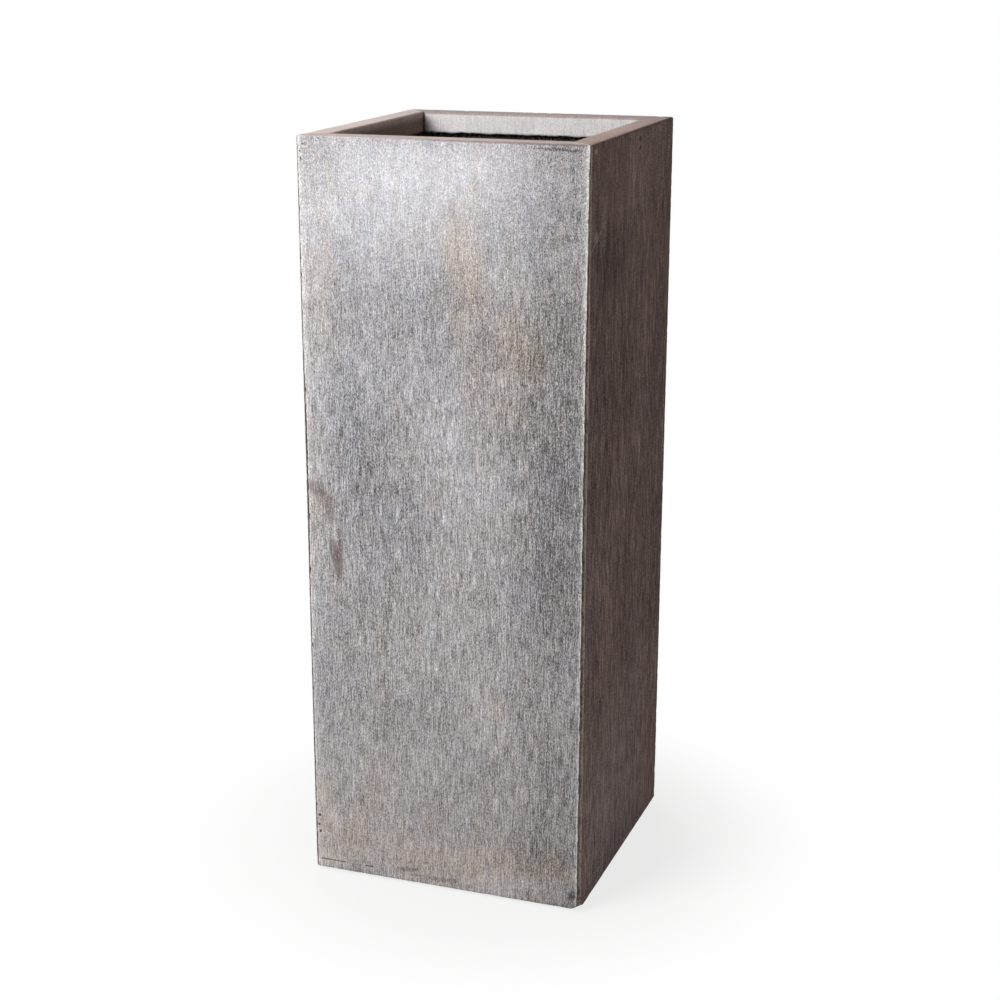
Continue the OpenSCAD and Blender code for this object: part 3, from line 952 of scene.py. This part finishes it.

# What most sides share, and what each side has of its own.
# Patches: across and up (mm), half width, half height, how much lighter, and how much warmer.
# Marks: across, up, half width, half height, lean, and how much lighter. Stains: the same, with a strength.
# lipTopLightAndShade is where the lip's colour turns into the rim's (mm), and how far it does: painted light
# and shade on its rounded top
plainSide = {
    "mottle": 0.24, "darkRightAndShade": 0.12, "sweep": 0.10, "bands": 0.17, "specks": 0.0, "edge": 0.14,
    "tones": ("cool", "warm"), "line": "chalk",
}
sideLooks = {
    "front": {
        **plainSide, "level": 0.895, "warmth": 0.27, "seed": 3.0, "grain": 1.31, "mottle": 0.17,
        "darkRightAndShade": 0.20, "bands": 0.13, "edge": 0.26,
        "rim": (0.47, 0.395, 0.365, 1), "lip": (0.47, 0.43, 0.41, 1), "lipTopLightAndShade": (996.0, 998.0, 0.6),
        "patches": [
            # the first two, wide and light along the top, are partly painted light: the top lit more than the
            # foot
            (110, 950, 180, 120, 0.46, -0.15), (240, 965, 170, 60, 0.34, -0.05),
            (12, 760, 34, 230, 0.24, 0.15), (220, 835, 36, 85, 0.03, 0.55),
            (262, 735, 70, 110, 0.0, 0.35), (252, 800, 17, 130, -0.10, -0.10),
            (345, 765, 45, 110, -0.12, 0.0), (346, 540, 54, 150, -0.22, -0.05),
            (342, 400, 30, 80, -0.06, 0.0), (350, 90, 60, 60, -0.04, 0.10),
            (75, 630, 70, 80, -0.17, -0.15), (85, 530, 70, 70, -0.15, -0.10),
            (115, 460, 60, 60, -0.09, -0.05), (160, 600, 40, 80, -0.10, -0.05),
            (100, 400, 70, 40, -0.10, 0.0), (190, 650, 40, 60, 0.24, -0.05),
            (140, 780, 60, 60, 0.02, -0.10), (208, 455, 34, 60, 0.08, 0.05),
            (212, 375, 40, 40, 0.08, 0.05), (290, 650, 40, 50, -0.12, 0.05),
            (285, 752, 44, 44, -0.16, 0.2), (275, 545, 40, 60, 0.10, 0.05),
            (255, 250, 60, 50, -0.04, 0.05), (108, 248, 50, 50, -0.18, 0.0),
            (235, 175, 50, 40, -0.04, 0.0), (285, 150, 50, 40, 0.10, 0.05),
            (10, 120, 28, 110, 0.10, 0.10), (190, 40, 230, 34, 0.06, 0.30),
            (165, 300, 40, 60, -0.05, 0.0), (90, 900, 110, 90, 0.14, 0.0), (280, 860, 120, 60, 0.14, 0.0),
            (205, 560, 50, 60, 0.10, 0.0), (262, 250, 40, 40, 0.12, 0.0), (30, 66, 50, 40, 0.12, 0.2),
            (335, 62, 40, 26, -0.14, 0.2), (18, 525, 16, 14, 0.12, 0.5), (300, 22, 90, 18, 0.16, -0.3),
            (22, 17, 26, 16, 0.28, 0.15), (12, 500, 16, 60, 0.16, 0.0), (10, 400, 14, 90, 0.10, 0.05),
            (12, 955, 24, 50, -0.08, 0.0), (368, 955, 16, 50, -0.10, 0.0), (12, 850, 20, 60, 0.08, 0.0),
            (360, 850, 30, 60, 0.09, 0.0), (368, 60, 16, 44, 0.17, 0.0), (285, 62, 40, 40, -0.09, 0.0),
            (100, 66, 50, 36, 0.07, 0.05), (368, 350, 14, 60, 0.06, 0.0),
        ],
        "marks": [
            (40, 484, 1.2, 13, 0, 0.45), (135, 759, 2.2, 3.0, 0, 0.40), (301, 152, 5, 16, 0, 0.14),
            (294, 160, 1.2, 18, 0, -0.20), (308, 160, 1.2, 20, 0, -0.20), (301, 143, 7, 1.6, 0, -0.18),
            (347, 88, 1.0, 22, -0.1, 0.25), (103, 43, 8, 1.4, -1.5, -0.16),
            (106, 34, 7, 1.3, -1.3, -0.16), (370, 24, 6, 7, 0.3, -0.55), (338, 992.8, 28, 1.7, 0, -0.60),
            (200, 993.5, 60, 1.2, 0, -0.16), (4.9, 968, 0.9, 5, 0, -0.5), (138, 23, 12, 3.4, 2.4, -0.42),
            (150, 17, 9, 2.4, 3.0, -0.30), (186, 16.5, 19, 3.0, 2.0, -0.38), (230, 12, 26, 2.0, 0, -0.20),
            (48, 640, 1.4, 60, 0, 0.12), (212, 300, 1.4, 70, 0, 0.10),
        ],
        "stains": [
            (14, 548, 12, 9, -0.5, 0.72), (25, 535, 10, 9, -0.4, 0.66), (33, 517, 5, 12, -0.2, 0.50),
            (39, 466, 5.5, 14, -0.12, 0.85), (47, 470, 4.2, 22, 0.05, 0.75),
            (45, 448, 5.5, 18, -0.04, 0.92),
        ],
    },
    "right": {
        # the right side is a shaded copy of the same concrete: its low level, brown tones, warmth and darker
        # rim and lip are partly painted shade on the side facing away from the light
        **plainSide, "level": 0.41, "warmth": 0.80, "seed": 17.0, "grain": 2.5, "mottle": 0.40,
        "darkRightAndShade": 0.0, "sweep": 0.24, "bands": 0.20, "specks": 0.16, "edge": -0.05,
        "tones": ("earthAndShadeCool", "earthAndShadeWarm"), "line": "tan",
        "rim": (0.385, 0.288, 0.258, 1), "lip": (0.36, 0.28, 0.24, 1), "lipTopLightAndShade": (996.0, 998.0, 0.6),
        "patches": [
            (60, 870, 90, 70, -0.16, 0.0), (210, 930, 70, 60, 0.24, 0.05), (90, 950, 60, 50, 0.06, 0.2),
            (240, 600, 40, 60, 0.16, 0.0), (60, 785, 26, 26, 0.08, 0.0), (80, 700, 130, 170, -0.30, 0.0),
            (70, 850, 80, 60, -0.14, 0.0), (155, 565, 40, 60, 0.16, -0.2),
            # the wide light, cooler patch at the foot is partly painted light from the floor below
            (190, 90, 260, 210, 0.30, -0.70), (105, 470, 60, 70, 0.12, -0.2),
            (60, 110, 90, 130, 0.16, -0.15), (330, 430, 70, 190, -0.16, 0.0),
            (250, 640, 120, 60, -0.12, 0.0), (120, 850, 60, 50, -0.28, 0.0),
            (30, 550, 34, 60, -0.27, 0.0), (205, 555, 30, 60, -0.14, 0.0),
            (345, 600, 40, 330, -0.16, 0.0), (235, 960, 100, 44, 0.16, 0.0), (310, 50, 80, 60, 0.18, 0.1),
            (215, 310, 60, 60, -0.12, 0.0), (340, 300, 50, 90, -0.10, 0.0),
            (210, 400, 80, 160, -0.12, 0.0), (320, 700, 60, 120, -0.16, 0.0),
            (330, 120, 60, 90, -0.10, 0.4), (30, 400, 40, 90, 0.10, -0.2), (185, 470, 22, 90, -0.14, 0.1),
            (280, 720, 50, 90, 0.08, 0.0),
        ],
        "marks": [
            (188, 932, 4, 34, -0.03, 0.70), (30, 884, 4, 20, 1.8, 0.75), (26, 888, 7, 5, 0.5, 1.1),
            (160, 590, 4, 40, -0.05, 0.40), (245, 577, 5, 16, 0, 0.50), (215, 594, 5, 30, -0.05, 0.40),
            (50, 789, 6, 12, 0, 0.30), (112, 540, 5, 30, 0, 0.25), (250, 300, 4, 60, 0, 0.20),
            (140, 240, 5, 50, 0, 0.20), (300, 180, 5, 60, 0, 0.22), (205, 140, 6, 30, -0.2, 0.22),
        ],
        "stains": [],
    },
    "back": {
        **plainSide, "level": 0.86, "warmth": 0.40, "seed": 29.0, "grain": 1.2,
        # the back lip's light colour is partly painted light, on the lip that faces the light
        "rim": (0.345, 0.285, 0.268, 1), "lip": (0.66, 0.645, 0.64, 1), "lipTopLightAndShade": (995.8, 997.6, 0.9),
        "patches": [
            (110, 700, 90, 160, -0.14, -0.1), (260, 420, 80, 180, 0.10, 0.1),
            (190, 965, 230, 70, 0.14, 0.0), (320, 160, 70, 110, -0.12, 0.1),
            (190, 40, 230, 34, 0.02, 0.5),
        ],
        "marks": [
            (96, 820, 1.3, 40, 0.02, 0.20), (270, 610, 1.5, 60, 0, 0.15), (300, 24, 30, 1.2, 0, -0.3),
        ],
        "stains": [
            (322, 640, 10, 9, -0.4, 0.35), (334, 618, 5, 20, -0.1, 0.40),
        ],
    },
    "left": {
        **plainSide, "level": 0.88, "warmth": 0.35, "seed": 41.0, "grain": 1.25,
        # the left lip's dark brown is painted shade, on the lip that faces away from the light; the light rim
        # is partly painted light
        "rim": (0.60, 0.505, 0.470, 1), "lip": (0.27, 0.200, 0.165, 1), "lipTopLightAndShade": (986.0, 999.0, 1.0),
        "patches": [
            (280, 640, 90, 150, -0.12, -0.1), (90, 330, 70, 160, 0.10, 0.1),
            (190, 965, 230, 70, 0.16, 0.0), (60, 820, 60, 120, -0.10, 0.1), (190, 40, 230, 34, 0.02, 0.5),
        ],
        "marks": [
            (130, 700, 1.3, 50, 0.02, 0.18), (300, 300, 1.4, 60, 0, 0.15), (200, 15, 30, 1.2, 0, -0.3),
        ],
        "stains": [
            (64, 330, 4, 18, 0.1, 0.35), (150, 700, 12, 7, 0.3, 0.22),
        ],
    },
}


def brushedConcrete(side):
    look = sideLooks[side]
    mix, shifts, rim = concrete["shares"], concrete["shifts"], concrete["rimMix"]
    finish = Finish("brushed_concrete_" + side, concrete["specular"])
    middle = halfWidth * 1000
    corner = finish.vector("ADD", finish.place(sideTurns[side]), (middle, middle, 0))
    across, depth, height = finish.split(corner)

    def grain(name, place=corner):
        period, step, detail, rough = concrete["grains"][name]
        return finish.grain(place, period, look["seed"] + step, detail, rough)

    def zone(value, name, kind="zones"):
        return finish.step(value, *concrete[kind][name])

    def ranged(value, name):
        return zone(value, name).between(*concrete["ranges"][name])

    # where: the outer face, the flat rim, the lip and the hidden wall inside
    outside, onRim, onLip = zone(depth, "outside"), zone(height, "rim"), zone(depth, "lip")
    inside = zone(depth, "wallInside") * zone(depth, "lipBack") * zone(height, "underRim")

    # brush strokes below, cast speckle towards the top
    drift = grain("drift")
    brushed = finish.vector("ADD", corner, finish.join(drift * shifts["brush"]))
    fine, strokes, bands = grain("fine", brushed), grain("strokes", brushed), grain("bands", brushed)
    speckle, mottle = grain("speckle"), grain("mottle")
    clouds, edgeWander = grain("clouds"), grain("edgeWander")
    strokesShare = ranged(height, "strokes")
    texture = (fine * mix["fine"] + strokes * mix["strokes"]) * strokesShare
    texture = texture + bands * look["bands"] * mix["bands"]
    texture = texture + speckle * (mix["speckle"] - strokesShare * mix["speckleLess"])
    texture = (texture + texture * texture * mix["skew"]) * ranged(height, "coarse")
    tone = 1 + texture * look["grain"] + mottle * look["mottle"]
    tone = tone + clouds * mix["clouds"] + grain("sweep", brushed) * look["sweep"]
    warmth = look["warmth"] + grain("warmClouds") * mix["warmClouds"]
    warmth = warmth + grain("warmStrokes", brushed) * mix["warmStrokes"]
    warmth = warmth + grain("warmMottle") * mix["warmMottle"]
    warmth = warmth + zone(height, "warmFoot") * mix["warmFoot"]

    # patches, marks and the darker right part, partly painted shade, with wandering outlines
    byClouds, byMottle = shifts["across"]
    upMottle, upDrift = shifts["up"]
    wander = finish.join(clouds * byClouds + mottle * byMottle, 0, mottle * upMottle + drift * upDrift)
    blurred = finish.vector("ADD", corner, wander)
    ragged = finish.vector("ADD", corner, finish.tint(wander, mix["ragged"]))
    for x, z, width, tall, lighter, warmer in look["patches"]:
        patch = finish.spot(blurred, x, z, width * mix["patchSpread"], tall * mix["patchSpread"]) * outside
        tone = tone + patch * lighter
        if warmer:
            warmth = warmth + patch * warmer
    for x, z, width, tall, lean, lighter in look["marks"]:
        stroke = finish.mark(ragged, x, z, width * mix["markSpread"], tall * mix["markSpread"], lean)
        tone = tone + stroke * outside * (1 + speckle * mix["markSpeckle"]) * lighter
    # the darker right part: partly the concrete's own tone, partly painted shade where the light falls off to
    # the right
    darkClouds, darkDrift = shifts["dark"]
    rightToneAndShade = zone(across + clouds * darkClouds + drift * darkDrift, "darkRightAndShade")
    tone = tone - rightToneAndShade * look["darkRightAndShade"] * outside

    # pale drawn edges, a darker foot, and painted shade on the hollow wall inside, under the rim
    fromMiddle = (across - middle).size()
    edge = zone(middle - fromMiddle + edgeWander * shifts["edge"], "edge")
    tone = tone + edge * look["edge"] * outside
    tone = tone - zone(height + edgeWander, "foot") * outside * mix["foot"]
    tone = tone - inside * (mix["hollow"] + mottle * mix["hollowMottle"])
    warmth = warmth + inside * mix["hollowShadeWarm"]

    coolTone, warmTone = (concrete[name] for name in look["tones"])
    colour = finish.blend(warmth.atLeast(0).atMost(1), coolTone, warmTone)
    for x, z, width, tall, lean, amount in look["stains"]:
        torn = finish.mark(ragged, x, z, width * mix["stainSpread"], tall * mix["stainSpread"], lean)
        torn = torn * (1 + mottle * mix["stainMottle"] + texture * mix["stainTexture"])
        mask = zone(torn, "stain", "steps") * outside
        mask = (mask * (mix["stainMost"] - texture * mix["stainWorn"]) * amount).atLeast(0).atMost(1)
        colour = finish.blend(mask, colour, concrete["rust"])
    colour = finish.tint(colour, tone.atLeast(concrete["darkest"]) * look["level"])

    # the flat rim, the lip, and the dark line under the top edge
    softer = 1 + texture * rim["texture"] + mottle * rim["mottle"] + clouds * rim["clouds"]
    # the lip's rounded top takes the rim's colour: painted light and shade
    low, high, share = look["lipTopLightAndShade"]
    lipTopShading = finish.step(height + edgeWander * shifts["lip"], low, high) * share
    lip = finish.blend(lipTopShading, look["lip"], look["rim"])
    nookMottle, nookSpeckle = shifts["nook"]
    nook = zone(fromMiddle + mottle * nookMottle + speckle * nookSpeckle, "nook")
    nook = nook * zone(speckle + mottle, "crusted", "steps")
    lip = finish.blend(nook * mix["nook"], lip, concrete["crust"])
    colour = finish.blend(onLip, colour, finish.tint(lip, softer))
    colour = finish.blend(onRim, colour, finish.tint(finish.plain(look["rim"]), softer))
    brow = zone((height - concrete["browHeight"] + edgeWander * shifts["lip"]).size(), "brow") * outside
    colour = finish.blend(brow * zone(across, "browAcross") * mix["brow"], colour, concrete["crust"])

    # the worn line along the arris, with painted light: lighter towards the top
    worn = finish.add("ShaderNodeAttribute", {"attribute_name": "worn"}, {}, "Fac")
    worn = worn + mottle * mix["lineMottle"] + speckle * mix["lineSpeckle"]
    line = zone(worn, "line", "steps") * outside
    lit = ranged(height, "lit") * (1 + texture * mix["lineTexture"])
    lineColour = finish.tint(finish.plain(concrete[look["line"]]), lit)
    colour = finish.blend(line * mix["line"], colour, lineColour)

    # air holes with their pale rings, pale specks, and the dark crust that gathers in the pores
    wider = 1000 * mix["holeSpread"]
    for x, z, wide, tall, deep, filled in pits[side]:
        hole = finish.spot(ragged, x * 1000, z * 1000, wide * wider, tall * wider)
        ring = zone(hole, "ring", "steps") * mix["dustRing" if filled else "holeRing"]
        colour = finish.blend(ring, colour, concrete[look["line"]])
        inHole = zone(hole, "hole", "steps") * mix["hole"]
        colour = finish.blend(inHole, colour, concrete["tan" if filled else "crust"])
    if look["specks"]:
        bright = zone(speckle + fine * 0.4 - clouds * 0.3, "specks", "steps") * outside
        colour = finish.blend(bright * look["specks"], colour, concrete["chalk"])
    pore = zone(speckle + fine * 0.6, "pore", "steps") * outside
    colour = finish.blend(pore * mix["pore"], colour, concrete["crust"])
    rough, depths = concrete["rough"], concrete["relief"]
    roughness = rough["plain"] + fine * rough["fine"] + speckle * rough["speckle"] - line * rough["line"]
    relief = fine * depths["fine"] + strokes * depths["strokes"] + speckle * depths["speckle"]
    relief = relief - pore * depths["pore"] + mottle * depths["mottle"]
    return finish.shade(colour, roughness.atMost(concrete["roughMost"]), relief, *concrete["bump"])


# How light and dusty the pointing is at each corner; tan is the share of the dark and tan lines beside it
mortarLook = {
    "front_left": {"dark": (0.050, 0.036, 0.030, 1), "light": (0.120, 0.085, 0.070, 1),
                   "dust": 0.20, "foot": 0.1, "tan": 0.0},
    # front_right: painted lighter, painted light that makes up for the little light in its recess
    "front_right": {"dark": (0.180, 0.155, 0.145, 1), "light": (0.400, 0.360, 0.330, 1),
                    "dust": 0.80, "foot": 0.35, "tan": 0.8},
    "back_right": {"dark": (0.220, 0.180, 0.160, 1), "light": (0.330, 0.290, 0.265, 1),
                   "dust": 0.40, "foot": 0.3, "tan": 0.3},
    "back_left": {"dark": (0.220, 0.180, 0.160, 1), "light": (0.330, 0.290, 0.265, 1),
                  "dust": 0.40, "foot": 0.3, "tan": 0.3},
    "dustColour": (0.56, 0.53, 0.50, 1),
    "tanColour": (0.36, 0.28, 0.22, 1),
    "pitColour": (0.070, 0.055, 0.050, 1),
    "rimColour": (0.300, 0.250, 0.230, 1),
    "specular": 0.06,
    "bump": (0.7, 0.0005),
    "seed": 71.0,
    "grains": {
        "crumbs": ((2.0, 2.0, 3.2), 0, 3.0, 0.7), "lumps": ((6, 6, 14), 1, 3.0, 0.6),
        "runs": ((14, 14, 70), 2, 2.0, 0.5),
    },
    "zones": {"low": (700.0, 60.0), "leaning": (800.0, 100.0), "rim": (985.0, 997.0)},
    "steps": {
        "dust": (0.10, 0.70), "tanLine": (1.0, 1.7), "jointAndShadowLine": (1.1, 0.4), "holes": (-0.18, -0.60),
    },
    "jointAndShadowShare": 0.8,
    "holeShare": 0.85,
    "rimShare": 0.8,
}


def pointingMortar(corner):
    look = mortarLook[corner]
    finish = Finish("pointing_mortar_" + corner, mortarLook["specular"])
    place = finish.place()
    crumbs, lumps, runs = finish.grains(mortarLook, place, 3 * cornerNames.index(corner))
    height = finish.split(place)[2]
    zones, steps = mortarLook["zones"], mortarLook["steps"]
    lighter = (0.5 + runs * 0.4 + crumbs * 0.5).atLeast(0).atMost(1)
    colour = finish.blend(lighter, look["dark"], look["light"])
    low = finish.step(height, *zones["low"])
    dust = finish.step(crumbs + lumps * 0.8 + low * look["foot"], *steps["dust"])
    colour = finish.blend(dust * look["dust"], colour, mortarLook["dustColour"])
    # lines that follow the pointing: how far to one side of the corner's diagonal
    signX, signY = cornerSigns(corner)
    aside = finish.dot(place, (signX, -signY, 0)) + lumps * 0.9 + crumbs * 0.6
    aside = aside - finish.step(height, *zones["leaning"])
    tanLine = finish.step(aside + crumbs * 0.8, *steps["tanLine"]) * look["tan"]
    # the dark line beside the pointing: partly a dark joint, partly painted shadow of the step at the arris
    jointAndShadowLine = finish.step(aside, *steps["jointAndShadowLine"]) * look["tan"] * mortarLook["jointAndShadowShare"]
    colour = finish.blend(tanLine, colour, mortarLook["tanColour"])
    colour = finish.blend(jointAndShadowLine, colour, mortarLook["pitColour"])
    holes = finish.step(crumbs + lumps * 0.6, *steps["holes"])
    colour = finish.blend(holes * mortarLook["holeShare"], colour, mortarLook["pitColour"])
    onRim = finish.step(height, *zones["rim"])
    rimColour = finish.tint(finish.plain(mortarLook["rimColour"]), 0.95 + crumbs * 0.12)
    colour = finish.blend(onRim * mortarLook["rimShare"], colour, rimColour)
    roughness = (0.90 + crumbs * 0.05).atMost(0.98)
    relief = crumbs * 0.8 + lumps * 0.9 - holes * 1.4
    return finish.shade(colour, roughness, relief, *mortarLook["bump"])


slabLook = {
    "pale": (0.34, 0.325, 0.31, 1),
    "brown": (0.25, 0.225, 0.20, 1),
    "damp": (0.14, 0.12, 0.105, 1),
    "dampReach": 75,        # mm around the drain
    "dampShare": 0.4,
    "specular": 0.06,
    "bump": (0.6, 0.0004),
    "seed": 83.0,
    "grains": {
        "grit": ((2.0, 2.0, 2.0), 0, 3.0, 0.7), "trowel": ((60, 14, 14), 1, 3.0, 0.55),
        "stain": ((45, 45, 45), 2, 3.0, 0.6),
    },
}


def slabConcrete():
    finish = Finish("slab_concrete", slabLook["specular"])
    place = finish.place()
    grit, trowel, stain = finish.grains(slabLook, place)
    colour = finish.blend((0.5 + stain * 0.4).atLeast(0).atMost(1), slabLook["pale"], slabLook["brown"])
    colour = finish.tint(colour, 1 + grit * 0.10 + trowel * 0.08)
    reach = slabLook["dampReach"]
    damp = finish.step(finish.spot(place, 0, slabTop * 1000, reach, reach) + stain * 0.15, 0.2, 0.7)
    colour = finish.blend(damp * slabLook["dampShare"], colour, slabLook["damp"])
    roughness = (0.88 + grit * 0.05).atMost(0.97)
    return finish.shade(colour, roughness, grit * 0.6 + trowel * 0.5, *slabLook["bump"])


rubberLook = {
    "dark": (0.022, 0.022, 0.023, 1),
    "grey": (0.050, 0.048, 0.046, 1),
    "dust": (0.16, 0.145, 0.13, 1),
    "dustShare": 0.35,
    "specular": 0.4,
    "bump": (0.35, 0.00012),
    "seed": 97.0,
    "grains": {"pebble": ((0.9, 0.9, 0.9), 0, 2.0, 0.5), "bloom": ((9, 9, 9), 1, 3.0, 0.6)},
}


def blackRubber():
    finish = Finish("black_rubber", rubberLook["specular"])
    place = finish.place()
    pebble, bloom = finish.grains(rubberLook, place)
    colour = finish.blend((0.35 + bloom * 0.4).atLeast(0).atMost(1), rubberLook["dark"], rubberLook["grey"])
    dust = finish.step(bloom + pebble * 0.4, 0.6, 1.6)
    colour = finish.blend(dust * rubberLook["dustShare"], colour, rubberLook["dust"])
    roughness = (0.55 + bloom * 0.10 + dust * 0.25).atMost(0.95)
    return finish.shade(colour, roughness, pebble, *rubberLook["bump"])


# How far behind the outside (m) a face of the slab or bed still has the finish of its side or corner
paintReach = {"corner": 0.0070, "slab": 0.0070, "bed": 0.0006}


def paintSides(piece, other, reach):
    # the side and corner finishes run on over the outward faces, so that each side reads as one surface;
    # the rest has the piece's own finish, which comes last
    for finish in [*finishes.values(), *mortarFinishes.values(), other]:
        piece.data.materials.append(finish)
    own = len(piece.data.materials) - 1
    for face in piece.data.polygons:
        x, y, z = face.center
        out = max(abs(x), abs(y))
        lesser, greater = sorted((abs(face.normal.x), abs(face.normal.y)))
        index = own
        if out > halfWidth - paintReach["corner"] and abs(face.normal.z) < 0.9:
            if lesser > 0.3 * greater > 0.1:
                corner = ("back" if y > 0 else "front") + ("_right" if x > 0 else "_left")
                index = len(sideNames) + cornerNames.index(corner)
            elif out >= halfWidth - reach:
                index = sideAt(x, y)
        face.material_index = index


finishes = {side: brushedConcrete(side) for side in sideNames}
mortarFinishes = {corner: pointingMortar(corner) for corner in cornerNames}
slabFinish, rubberFinish = slabConcrete(), blackRubber()
for side, panel in panels.items():
    panel.data.materials.clear()
    panel.data.materials.append(finishes[side])
    finishPiece(panel, [side + "_panel"], "planter")
for corner, mortar in mortars.items():
    mortar.data.materials.append(mortarFinishes[corner])
    finishPiece(mortar, [corner + "_corner_mortar"], "planter", 45)
paintSides(slab, slabFinish, paintReach["slab"])
finishPiece(slab, ["base_slab"], "planter", 40)
paintSides(bed, mortarFinishes["back_right"], paintReach["bed"])
finishPiece(bed, ["base_bed_mortar"], "planter", 40)
for name in ["drain_plug"] + [corner + "_foot" for corner in cornerNames]:
    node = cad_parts[name]
    node.data.materials.clear()
    node.data.materials.append(rubberFinish)
print("finishes: concrete on 4 sides, mortar, slab and rubber")


# Camera at the photograph's viewpoint, and plain soft light
viewpoint = {
    "spot": (0.8565, -2.4045, 1.2401),
    "towards": (-0.33588, 0.89323, -0.29888),
    "roll": math.radians(-0.247),
    "lens": 70.152,
    "shift": (0.04, 0.04),
}


def placeCamera():
    camera = bpy.data.objects.new("camera", bpy.data.cameras.new("camera"))
    bpy.context.scene.collection.objects.link(camera)
    forward = Vector(viewpoint["towards"]).normalized()
    level = forward.cross(Vector((0, 0, 1))).normalized()
    upright = level.cross(forward)
    turn = viewpoint["roll"]
    right = level * math.cos(turn) + upright * math.sin(turn)
    up = right.cross(forward)
    basis = Matrix((right, up, -forward)).transposed()
    camera.matrix_world = Matrix.Translation(viewpoint["spot"]) @ basis.to_4x4()
    camera.data.sensor_width = 36
    camera.data.lens = viewpoint["lens"]
    camera.data.shift_x, camera.data.shift_y = viewpoint["shift"]
    bpy.context.scene.camera = camera


lamps = {
    "key": {"spot": (-1.05, -1.65, 2.05), "aim": (0, -0.1, 0.70), "size": 1.2, "power": 63,
            "colour": (1.0, 0.99, 0.99)},
    "warm_fill": {"spot": (2.2, -0.2, 1.0), "aim": (0.1, 0, 0.55), "size": 1.6, "power": 5,
                  "colour": (1.0, 0.80, 0.66)},
    "back_fill": {"spot": (-1.2, 2.3, 1.9), "aim": (0, 0, 0.55), "size": 1.6, "power": 26,
                  "colour": (1.0, 0.98, 0.96)},
    "well_fill": {"spot": (0, 0, 3.0), "aim": (0, 0, 0), "cone": 8.6, "size": 0.08, "power": 150,
                  "colour": (1.0, 0.99, 0.98)},
}


def placeLamps():
    for name, lamp in lamps.items():
        if "cone" in lamp:
            # falls through the opening only, on to the slab
            data = bpy.data.lights.new(name, "SPOT")
            data.spot_size = math.radians(lamp["cone"])
            data.spot_blend = 1.0
            data.shadow_soft_size = lamp["size"]
        else:
            data = bpy.data.lights.new(name, "AREA")
            data.size = lamp["size"]
        data.energy = lamp["power"]
        data.color = lamp["colour"]
        lampObject = bpy.data.objects.new(name, data)
        bpy.context.scene.collection.objects.link(lampObject)
        lampObject.location = lamp["spot"]
        direction = Vector(lamp["aim"]) - Vector(lamp["spot"])
        lampObject.rotation_euler = direction.to_track_quat("-Z", "Y").to_euler()


roomLight = {"ambient": 0.19, "colour": (1.0, 0.985, 0.98, 1), "white": (1, 1, 1, 1)}


def lightWorld():
    # white for the camera and for reflections, and a soft even light for the rest
    world = bpy.data.worlds.new("soft_room")
    bpy.context.scene.world = world
    tree = Tree(world)
    seen = (tree.ray("Camera") + tree.ray("Glossy") + tree.ray("Transmission")).atMost(1)
    tree.fill(tree.nodes["Background"], {"Color": roomLight["colour"], "Strength": roomLight["ambient"]})
    lit = Wire(tree, tree.nodes["Background"].outputs[0])
    white = tree.add("ShaderNodeBackground", {}, {"Color": roomLight["white"], "Strength": 1.0})
    mixed = tree.add("ShaderNodeMixShader", {}, {0: seen, 1: lit, 2: white})
    tree.fill(tree.nodes["World Output"], {"Surface": mixed})


floorLook = {
    "radius": 6.0,
    "colour": (0.72, 0.71, 0.70, 1),
    "roughness": 0.9,
    "specular": 0.1,
    "glow": (1, 1, 1, 1),
    "shadowReach": (0.22, 0.50),
    "shadowShare": 0.22,
}


def layFloor():
    bpy.ops.object.select_all(action="DESELECT")
    bpy.ops.mesh.primitive_circle_add(vertices=128, radius=floorLook["radius"], fill_type="NGON")
    floor = bpy.context.active_object
    floor.name = "floor"
    # white where it is seen, but for a soft shadow near the planter
    finish = Finish("pale_floor", floorLook["specular"])
    finish.fill(finish.shader, {"Base Color": floorLook["colour"], "Roughness": floorLook["roughness"]})
    spot = finish.add("ShaderNodeTexCoord", {}, {}, "Object")
    reach = finish.add("ShaderNodeVectorMath", {"operation": "LENGTH"}, {0: spot}, "Value")
    start, end = floorLook["shadowReach"]
    fade = finish.add("ShaderNodeMapRange", {"interpolation_type": "SMOOTHSTEP"}, {
        "Value": reach, "From Min": start, "From Max": end, "To Min": 1 - floorLook["shadowShare"]})
    seen = fade * (finish.ray("Camera") + finish.ray("Glossy"))
    glow = finish.add("ShaderNodeEmission", {}, {"Color": floorLook["glow"], "Strength": 1.0})
    shaded = Wire(finish, finish.shader.outputs[0])
    mixed = finish.add("ShaderNodeMixShader", {}, {0: seen, 1: shaded, 2: glow})
    finish.fill(finish.nodes["Material Output"], {"Surface": mixed})
    floor.data.materials.append(finish.material)


placeCamera()
placeLamps()
lightWorld()
layFloor()
bpy.context.scene.view_settings.view_transform = "Standard"
print("camera, lamps and floor placed")
